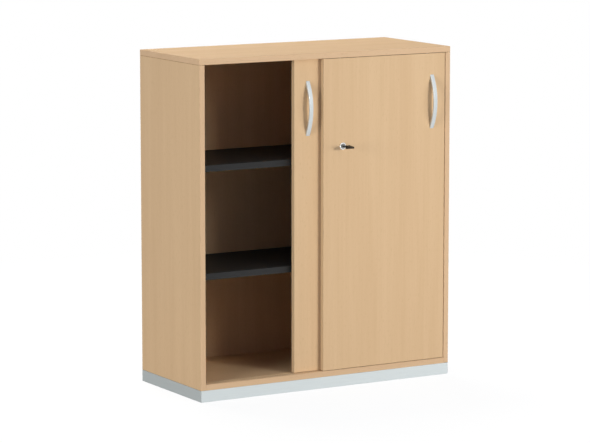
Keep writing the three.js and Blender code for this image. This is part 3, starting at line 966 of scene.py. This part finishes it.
@dataclass
class BowHandle:
    """A cast bow between two arcs, standing on a flat foot at each end."""

    node: str
    thickness: float = 6.0
    foot: float = 18.0
    edge_radius: float = 1.3
    steps: int = 64

    def build(self) -> None:
        """Draws the bow's outline out to its width, stands it on the door and rounds its edges."""
        low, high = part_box(self.node)
        width, rise, height = ((end - start) / MM for start, end in zip(low, high))
        outer = self.arc(height / 2, rise)
        inner = self.arc(height / 2 - self.foot, rise - self.thickness)
        bm = drawn_out(outer + inner[::-1], width)
        foot = (low + high) / 2
        foot.y = high.y
        # The bow's rise points to the front, its chord stands upright and its width runs across.
        stand = Matrix(((0, 0, -1, 0), (-1, 0, 0, 0), (0, 1, 0, 0), (0, 0, 0, 1)))
        bm.transform(Matrix.Translation(foot) @ stand)
        bmesh.ops.recalc_face_normals(bm, faces=bm.faces)
        round_edges(bm, self.edge_radius, 5, sharper_than(50))
        dress(self.node, bm, [HANDLE_METAL])

    def arc(self, half_chord: float, rise: float) -> list[tuple[float, float]]:
        """Gives points on an arc that stands on its chord.

        Args:
            half_chord: Half the chord's length in mm.
            rise: The arc's height over its chord in mm.

        Returns:
            Pairs of height over the chord and place along it.
        """
        radius = (half_chord**2 + rise**2) / (2 * rise)
        reach = math.asin(half_chord / radius)
        angles = [reach * (2 * step / self.steps - 1) for step in range(self.steps + 1)]
        return [
            (rise - radius + radius * math.cos(angle), radius * math.sin(angle))
            for angle in angles
        ]


@dataclass
class HandleScrew:
    """A cross-recessed screw from the door's back into the handle."""

    node: str
    shank: float = 2.0
    taper: float = 0.6
    taper_length: float = 1.0
    head: float = 4.0
    head_depth: float = 2.8
    head_rim: float = 0.7
    recess_width: float = 1.0
    recess_span: float = 4.2
    recess_depth: float = 1.6

    def build(self) -> None:
        """Turns the screw with its head and cuts the cross into it."""
        start, length, _ = measured(self.node, Axis.DEEP)
        outline = [
            (0, 0, 0),
            (self.shank - self.taper, 0, 0),
            (self.shank, self.taper_length, 0),
            (self.shank, length - self.head_depth, 0.2),
            (self.head, length - self.head_rim, 0.2),
            (self.head, length, 0.3),
            (0, length, 0),
        ]
        bm = carved(turned(outline, Axis.DEEP, start, 32), self.cross())
        dress(self.node, bm, [ZINC])

    def cross(self) -> list[Shape]:
        """Gives what cuts the cross recess.

        Returns:
            A level and an upright block, from a millimetre before the head's face.
        """
        face, _, _ = measured(self.node, Axis.DEEP, from_high=True)
        near, wide = self.recess_width * MM / 2, self.recess_span * MM / 2
        deep = self.recess_depth * MM
        return [
            block(face - Vector((half_x, deep, half_z)), face + Vector((half_x, MM, half_z)))
            for half_x, half_z in ((wide, near), (near, wide))
        ]


@dataclass
class Roller:
    """A nylon wheel on a steel axle, in a housing sunk in the door's lower edge."""

    name: str
    housing_radius: float = 0.6
    axle: float = 1.5
    axle_chamfer: float = 0.3
    bore: float = 1.8
    hub: float = 4.0
    rim: float = 3.0  # thickness of the ring that carries the tread
    dish: float = 0.8
    flank: float = 0.4  # how far the dish's walls lean
    crown: float = 0.6  # chamfer on both sides of the tread

    def build(self) -> None:
        """Builds the housing, the axle and the wheel."""
        self.build_housing()
        self.build_axle()
        self.build_wheel()

    def build_housing(self) -> None:
        """Rounds the moulded housing's outer edges."""
        node = f"{self.name}_housing"
        bm = cad_copy(node)
        round_edges(bm, self.housing_radius, 3, on_box_edge(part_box(node)))
        dress(node, bm, [DARK_PLASTIC])

    def build_axle(self) -> None:
        """Turns the axle with a chamfer at each end."""
        node = f"{self.name}_axle"
        start, length, _ = measured(node, Axis.DEEP)
        outline = [
            (0, 0, 0),
            (self.axle - self.axle_chamfer, 0, 0),
            (self.axle, self.axle_chamfer, 0),
            (self.axle, length - self.axle_chamfer, 0),
            (self.axle - self.axle_chamfer, length, 0),
            (0, length, 0),
        ]
        dress(node, turned(outline, Axis.DEEP, start, 24), [ZINC])

    def build_wheel(self) -> None:
        """Turns the wheel with a crowned tread, a dished web and a hub."""
        node = f"{self.name}_wheel"
        start, width, radius = measured(node, Axis.DEEP)
        rim = radius - self.rim
        near_side = [
            (self.bore, 0, 0),
            (self.hub, 0, 0.2),
            (self.hub + self.flank, self.dish, 0.1),
            (rim, self.dish, 0.1),
            (rim + self.flank, 0, 0.2),
            (radius - self.crown, 0, 0.2),
            (radius, self.crown, 0.3),
        ]
        far_side = [(out, width - height, rounding) for out, height, rounding in near_side[::-1]]
        wheel = turned(near_side + far_side, Axis.DEEP, start, 72, closed=True)
        dress(node, wheel, [NYLON])


@dataclass
class TopGuide:
    """A nylon guide: a barbed plug in the door's top edge and a pin in the rail."""

    node: str
    plug: float = 5.0
    plug_length: float = 20.0
    lead_in: float = 1.2
    barbs: int = 4
    barbs_from: float = 1.0
    barb_depth: float = 0.8
    barb_share: float = 0.8  # share of a barb's length over which it widens
    plain: float = 4.0  # length of plug without barbs
    collar: float = 2.2
    collar_chamfer: float = 0.4
    pin: float = 2.7

    def build(self) -> None:
        """Turns the barbed plug and the round-nosed pin."""
        start, length, _ = measured(self.node, Axis.UPRIGHT)
        core = self.plug - self.barb_depth
        pitch = (self.plug_length - self.plain) / self.barbs
        outline = [(0, 0, 0), (self.plug - self.lead_in, 0, 0.3)]
        for barb in range(self.barbs):
            height = self.barbs_from + barb * pitch
            outline += [(core, height, 0), (self.plug, height + pitch * self.barb_share, 0)]
        outline += [
            (core, self.plug_length - self.collar - self.collar_chamfer, 0),
            (self.plug, self.plug_length - self.collar, 0),
            (self.plug, self.plug_length, 0.3),
            (self.pin, self.plug_length, 0.5),
            (self.pin, length, 1.2),
            (0, length, 0),
        ]
        dress(self.node, turned(outline, Axis.UPRIGHT, start, 32), [NYLON])


@dataclass
class SlidingDoor:
    """A door board with its handle, screws, rollers and top guides."""

    hand: str

    def build(self) -> None:
        """Builds the board and everything fixed to it."""
        # The door's edges take the darker band, which is painted shade.
        Board(f"{self.hand}_door", Axis.DEEP, Axis.UPRIGHT, DOOR_BAND_PAINTED_SHADE).build()
        BowHandle(f"{self.hand}_handle").build()
        for level in ("lower", "upper"):
            HandleScrew(f"{self.hand}_handle_screw_{level}").build()
        for end in ("left", "right"):
            Roller(f"{self.hand}_door_{end}_roller").build()
            TopGuide(f"{self.hand}_door_{end}_guide").build()


@dataclass
class StrikerBush:
    """The bush in the left door that takes the lock's bolt."""

    node: str = "striker_bush"
    bore: float = 4.3
    floor: float = 2.0
    countersink: float = 0.9

    def build(self) -> None:
        """Turns the bush with a countersunk mouth."""
        start, length, radius = measured(self.node, Axis.DEEP)
        outline = [
            (0, length, 0),
            (0, length - self.floor, 0),
            (self.bore, length - self.floor, 0.3),
            (self.bore, self.countersink, 0),
            (self.bore + self.countersink, 0, 0.1),
            (radius, 0, 0.3),
            (radius, length, 0.4),
        ]
        dress(self.node, turned(outline, Axis.DEEP, start, 48, closed=True), [DARK_PLASTIC])


# The lock and its key


@dataclass
class PushLock:
    """A push lock in the right door: rosette and sleeve, push cylinder, bolt and turning plug."""

    rosette: float = 12.5
    rosette_height: float = 4.0
    rosette_rim: float = 2.3  # width of the rounded rim
    rosette_step: float = 0.3  # width of the fine step inside the rim
    step_depth: float = 0.25
    rim_depth: float = 0.4  # how far behind the face the rim's outer edge lies
    sleeve: float = 10.0
    sleeve_end: float = 2.0  # thickness of the sleeve's far end, which guides the bolt
    cylinder: float = 8.0
    plug: float = 5.5
    bolt: float = 4.0
    keyway_width: float = 8.2
    keyway_height: float = 3.4
    running: float = 0.3
    steps: int = 96

    def build(self) -> None:
        """Builds the four pieces about the lock's axis."""
        self.build_housing()
        self.build_cylinder()
        self.build_bolt()
        self.build_plug()

    def build_housing(self) -> None:
        """Turns the rosette, with its rounded rim and a fine step, and the sleeve behind it."""
        start, length, _ = measured("lock_housing", Axis.DEEP)
        bore, bolt_bore = self.cylinder + self.running, self.bolt + self.running
        outline = [
            (bore, 0, 0.3),
            (self.rosette - self.rosette_rim - self.rosette_step, 0, 0),
            (self.rosette - self.rosette_rim, self.step_depth, 0),
            (self.rosette, self.rim_depth, 1.6),
            (self.rosette, self.rosette_height, 0.15),
            (self.sleeve, self.rosette_height, 0),
            (self.sleeve, length, 0.4),
            (bolt_bore, length, 0.2),
            (bolt_bore, length - self.sleeve_end, 0.2),
            (bore, length - self.sleeve_end, 0),
        ]
        housing = turned(outline, Axis.DEEP, start, self.steps, closed=True)
        dress("lock_housing", housing, [CHROME])

    def build_cylinder(self) -> None:
        """Turns the push cylinder with its rounded front rim."""
        start, length, _ = measured("lock_cylinder", Axis.DEEP)
        bore = self.plug + self.running
        bed = (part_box("lock_plug")[1].y - start.y) / MM + self.running
        outline = [
            (bore, 0, 0.15),
            (self.cylinder, 0, 0.9),
            (self.cylinder, length, 0.3),
            (0, length, 0),
            (0, bed, 0),
            (bore, bed, 0),
        ]
        cylinder = turned(outline, Axis.DEEP, start, self.steps, closed=True)
        # The cylinder and plug take the dark satin nickel, whose dark grey is partly painted
        # reflection and shade.
        dress("lock_cylinder", cylinder, [SATIN_NICKEL_PAINTED_SHADE])

    def build_bolt(self) -> None:
        """Turns the bolt with a rounded nose."""
        start, length, _ = measured("lock_bolt", Axis.DEEP)
        outline = [(0, 0, 0), (self.bolt, 0, 0.2), (self.bolt, length, 0.8), (0, length, 0)]
        dress("lock_bolt", turned(outline, Axis.DEEP, start), [ZINC])

    def build_plug(self) -> None:
        """Turns the plug and cuts the level keyway into its face."""
        start, length, _ = measured("lock_plug", Axis.DEEP)
        outline = [(0, 0, 0), (self.plug, 0, 0.25), (self.plug, length, 0.2), (0, length, 0)]
        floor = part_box("key_blade")[1].y + self.running * MM
        half = Vector((self.keyway_width / 2, 0, self.keyway_height / 2)) * MM
        low = start - half - Vector((0, MM, 0))
        high = Vector((start.x, floor, start.z)) + half
        bm = carved(turned(outline, Axis.DEEP, start, self.steps), [block(low, high)])
        dress("lock_plug", bm, [SATIN_NICKEL_PAINTED_SHADE])


@dataclass
class FoldingKey:
    """A key whose flat blade ends in a rolled eye, with a head that folds about a pin in it."""

    blade_width: float = 7.6
    blade_thickness: float = 2.8
    blade_radius: float = 0.2
    eye: float = 4.5
    pin: float = 1.5
    knuckle_width: float = 13.0
    rod_radius: float = 0.3
    notches: tuple[float, ...] = (0.5, 1.1, 0.7, 1.3, 0.4)
    notch_pitch: float = 2.0
    notch_step: float = 0.5  # length of each slope and of each floor
    notched: float = 10.4  # from the blade's tip back to the first notch's floor
    plain_from: float = 11.0  # from the tip back to where the blade is plain
    tip: float = 1.4  # chamfer of the tip at the blade's back, and its width at the notched edge
    tip_short: float = 0.3  # length of the tip's chamfer at the notched edge
    head_radius: float = 0.5

    def build(self) -> None:
        """Builds the blade and the head."""
        self.build_blade()
        self.build_head()

    def build_blade(self) -> None:
        """Draws out the notched blade, and turns its eye and the pin in it."""
        low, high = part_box("key_blade")
        fold = (low + high) / 2
        fold.y = low.y + self.eye * MM
        reach = (high.y - fold.y) / MM
        half, step, tip = self.blade_width / 2, self.notch_step, self.tip
        outline = [(-half, 0), (half, 0), (half, reach - self.plain_from)]
        for number, depth in enumerate(self.notches):
            place = reach - self.notched + number * self.notch_pitch
            outline += [(half, place - step), (half - depth, place)]
            outline += [(half - depth, place + step), (half, place + 2 * step)]
        outline += [(half, reach - self.tip_short), (half - tip, reach), (-half + tip, reach)]
        outline += [(-half, reach - tip)]
        blade = drawn_out(outline, self.blade_thickness)
        bmesh.ops.translate(blade, verts=blade.verts, vec=fold)
        round_edges(blade, self.blade_radius, 2, sharper_than(60))
        eye = turned(self.rod(self.eye, self.blade_width), Axis.ACROSS, fold)
        pin = turned(self.rod(self.pin, self.knuckle_width), Axis.ACROSS, fold, 32)
        # Blade, eye and pin take the nearly black steel, which is painted shade and dark
        # reflection.
        dress("key_blade", joined((blade, eye, pin)), [KEY_STEEL_PAINTED_SHADE])

    def rod(self, radius: float, width: float) -> list[Corner]:
        """Gives the outline of a rod that is centred on the fold axis.

        Args:
            radius: Its radius in mm.
            width: Its length in mm.

        Returns:
            The outline.
        """
        half, end = width / 2, self.rod_radius
        return [(0, -half, 0), (radius, -half, end), (radius, half, end), (0, half, 0)]

    def build_head(self) -> None:
        """Rounds the moulded head's edges."""
        bm = cad_copy("key_head")
        round_edges(bm, self.head_radius, 3, sharper_than(40))
        dress("key_head", bm, [KEY_PLASTIC])


# The studio


@dataclass
class Softbox:
    """A rectangular lamp that faces the cabinet."""

    name: str
    azimuth: float  # degrees from straight in front, positive to the right
    elevation: float
    distance: float  # metres
    width: float
    height: float
    power: float
    tint: tuple[float, float, float] = (1.0, 1.0, 1.0)
    mirrored: bool = True  # whether glossy surfaces show it
    target: tuple[float, float, float] = (0.0, -0.15, 0.6)

    def build(self) -> None:
        """Places the lamp and turns it to its target."""
        turn, rise = math.radians(self.azimuth), math.radians(self.elevation)
        level = math.cos(rise)
        way = Vector((math.sin(turn) * level, -math.cos(turn) * level, math.sin(rise)))
        light = bpy.data.lights.new(self.name, "AREA")
        light.shape = "RECTANGLE"
        light.size, light.size_y = self.width, self.height
        light.energy = self.power
        light.color = self.tint
        lamp = set_down(self.name, light)
        lamp.location = Vector(self.target) + self.distance * way
        lamp.rotation_euler = (-way).to_track_quat("-Z", "Y").to_euler()
        lamp.visible_camera = False
        lamp.visible_glossy = self.mirrored


@dataclass
class Studio:
    """A pale floor, plain lamps, a white surround and the photograph's camera."""

    floor_radius: float = 3.2
    floor_gap: float = 0.2  # mm between the floor and the plinth
    floor_plain: float = 1.3  # metres from the middle within which the floor takes a shadow
    floor_white: float = 0.9  # share of its radius from which it is plain white
    floor_glow: float = 0.93  # what the floor there shows by itself
    floor_matt: float = 0.09  # what it adds in lamplight, and loses in the shadow
    floor_lit: float = 0.25  # how much light it throws back on the object
    surround: Colour = (0.044, 0.095, 0.175, 1.0)  # the light that it throws on the object
    camera_place: tuple[float, float, float] = (-5.16273, -8.79273, 2.07971)
    camera_turn: tuple[float, float, float] = (81.533, 0.0, -30.305)
    lens: float = 179.37

    def build(self) -> None:
        """Builds the floor, the lamps, the surround and the camera."""
        self.build_floor()
        for lamp in (
            Softbox("key", 24, 11, 5.0, 0.45, 0.45, 101, mirrored=False),
            Softbox("high_key", 12, 26, 7.0, 0.8, 2.5, 36),
            Softbox("right_fill", 40, 4, 7.0, 4.5, 2.0, 152, mirrored=False),
            Softbox("right_side", 103, 8, 7.0, 2.6, 2.6, 92, mirrored=False),
            Softbox("left_fill", -71, 8, 7.0, 2.6, 2.6, 295, (1.0, 0.99, 0.97)),
            Softbox("top_light", -172, 60, 7.0, 2.5, 2.5, 292, (1.0, 0.89, 0.69)),
            Softbox("back_fill", 165, 14, 7.0, 3.5, 3.0, 275, mirrored=False),
        ):
            lamp.build()
        self.build_surround()
        self.build_camera()

    def build_floor(self) -> None:
        """Makes a round floor that is plain white and takes a faint shadow near the cabinet."""
        bm = bmesh.new()
        bmesh.ops.create_circle(bm, cap_ends=True, segments=96, radius=self.floor_radius)
        bmesh.ops.translate(bm, verts=bm.verts, vec=(0, 0, -self.floor_gap * MM))
        floor = set_down("floor", mesh_of("floor", bm))
        floor.data.materials.append(self.floor_paint())

    def grey(self, level: float) -> Colour:
        """Gives a grey, or white at a level of 1."""
        return (level, level, level, 1.0)

    def seen(self, tree: Tree) -> Socket:
        """Tells the rays that see the surround from those that light the object.

        Args:
            tree: The node tree.

        Returns:
            1 for rays from the camera, gloss or glass, 0 for others.
        """
        path = add_node(tree, "ShaderNodeLightPath").outputs
        value = path["Is Camera Ray"]
        for other in ("Is Glossy Ray", "Is Transmission Ray"):
            inputs = {0: value, 1: path[other]}
            value = add_node(tree, "ShaderNodeMath", inputs, operation="MAXIMUM").outputs[0]
        return value

    def floor_paint(self) -> bpy.types.Material:
        """Makes the floor's white, with room in it for a shadow, and clear from below.

        Returns:
            The material.
        """
        paint = bpy.data.materials.new("pale_studio_floor")
        paint.use_nodes = True
        tree = paint.node_tree
        tree.nodes.clear()
        place = add_node(tree, "ShaderNodeTexCoord").outputs["Object"]
        reach = add_node(tree, "ShaderNodeVectorMath", {0: place}, operation="LENGTH")
        edge = {"From Min": self.floor_plain, "From Max": self.floor_radius * self.floor_white}
        away = add_node(tree, "ShaderNodeMapRange", {"Value": reach.outputs["Value"], **edge})
        white, glow = (
            add_node(tree, "ShaderNodeEmission", {"Color": self.grey(level)}).outputs[0]
            for level in (1.0, self.floor_glow)
        )
        matt, lit = (
            add_node(tree, "ShaderNodeBsdfDiffuse", {"Color": self.grey(level)}).outputs[0]
            for level in (self.floor_matt, self.floor_lit)
        )
        near = add_node(tree, "ShaderNodeAddShader", {0: glow, 1: matt}).outputs[0]
        inputs = {0: away.outputs["Result"], 1: near, 2: white}
        shown = add_node(tree, "ShaderNodeMixShader", inputs).outputs[0]
        inputs = {0: self.seen(tree), 1: lit, 2: shown}
        both = add_node(tree, "ShaderNodeMixShader", inputs).outputs[0]
        below = add_node(tree, "ShaderNodeNewGeometry").outputs["Backfacing"]
        clear = add_node(tree, "ShaderNodeBsdfTransparent").outputs[0]
        sided = add_node(tree, "ShaderNodeMixShader", {0: below, 1: both, 2: clear}).outputs[0]
        add_node(tree, "ShaderNodeOutputMaterial", {"Surface": sided})
        return paint

    def build_surround(self) -> None:
        """Makes the surround white to the eye and in gloss, and dim and cool as a light."""
        world = bpy.data.worlds.new("studio")
        world.use_nodes = True
        tree = world.node_tree
        tree.nodes.clear()
        inputs = {"Fac": self.seen(tree), "Color1": self.surround, "Color2": self.grey(1.0)}
        colour = add_node(tree, "ShaderNodeMixRGB", inputs).outputs["Color"]
        light = add_node(tree, "ShaderNodeBackground", {"Color": colour, "Strength": 1.0})
        add_node(tree, "ShaderNodeOutputWorld", {"Surface": light.outputs[0]})
        bpy.context.scene.world = world

    def build_camera(self) -> None:
        """Sets the camera at the photograph's place, with no shift and no blur."""
        camera = set_down("camera", bpy.data.cameras.new("camera"))
        camera.data.sensor_width = 36
        camera.data.lens = self.lens
        camera.data.dof.use_dof = False
        camera.location = self.camera_place
        camera.rotation_euler = Euler([math.radians(angle) for angle in self.camera_turn])
        bpy.context.scene.camera = camera
        bpy.context.scene.view_settings.view_transform = "Standard"


def main() -> None:
    """Builds the cabinet piece by piece, then the studio."""
    logging.basicConfig(level=logging.INFO, format="%(name)s %(message)s")
    feet = [
        LevellingFoot(f"levelling_foot_{end}_{row}")
        for end in ("left", "right")
        for row in ("front", "back")
    ]
    for assembly in (
        Carcass(),
        Plinth(),
        *feet,
        Shelving(),
        Runners(),
        SlidingDoor("left"),
        SlidingDoor("right"),
        StrikerBush(),
        PushLock(),
        FoldingKey(),
        Studio(),
    ):
        log.info("building %s", type(assembly).__name__)
        assembly.build()


if __name__ == "__main__":
    main()
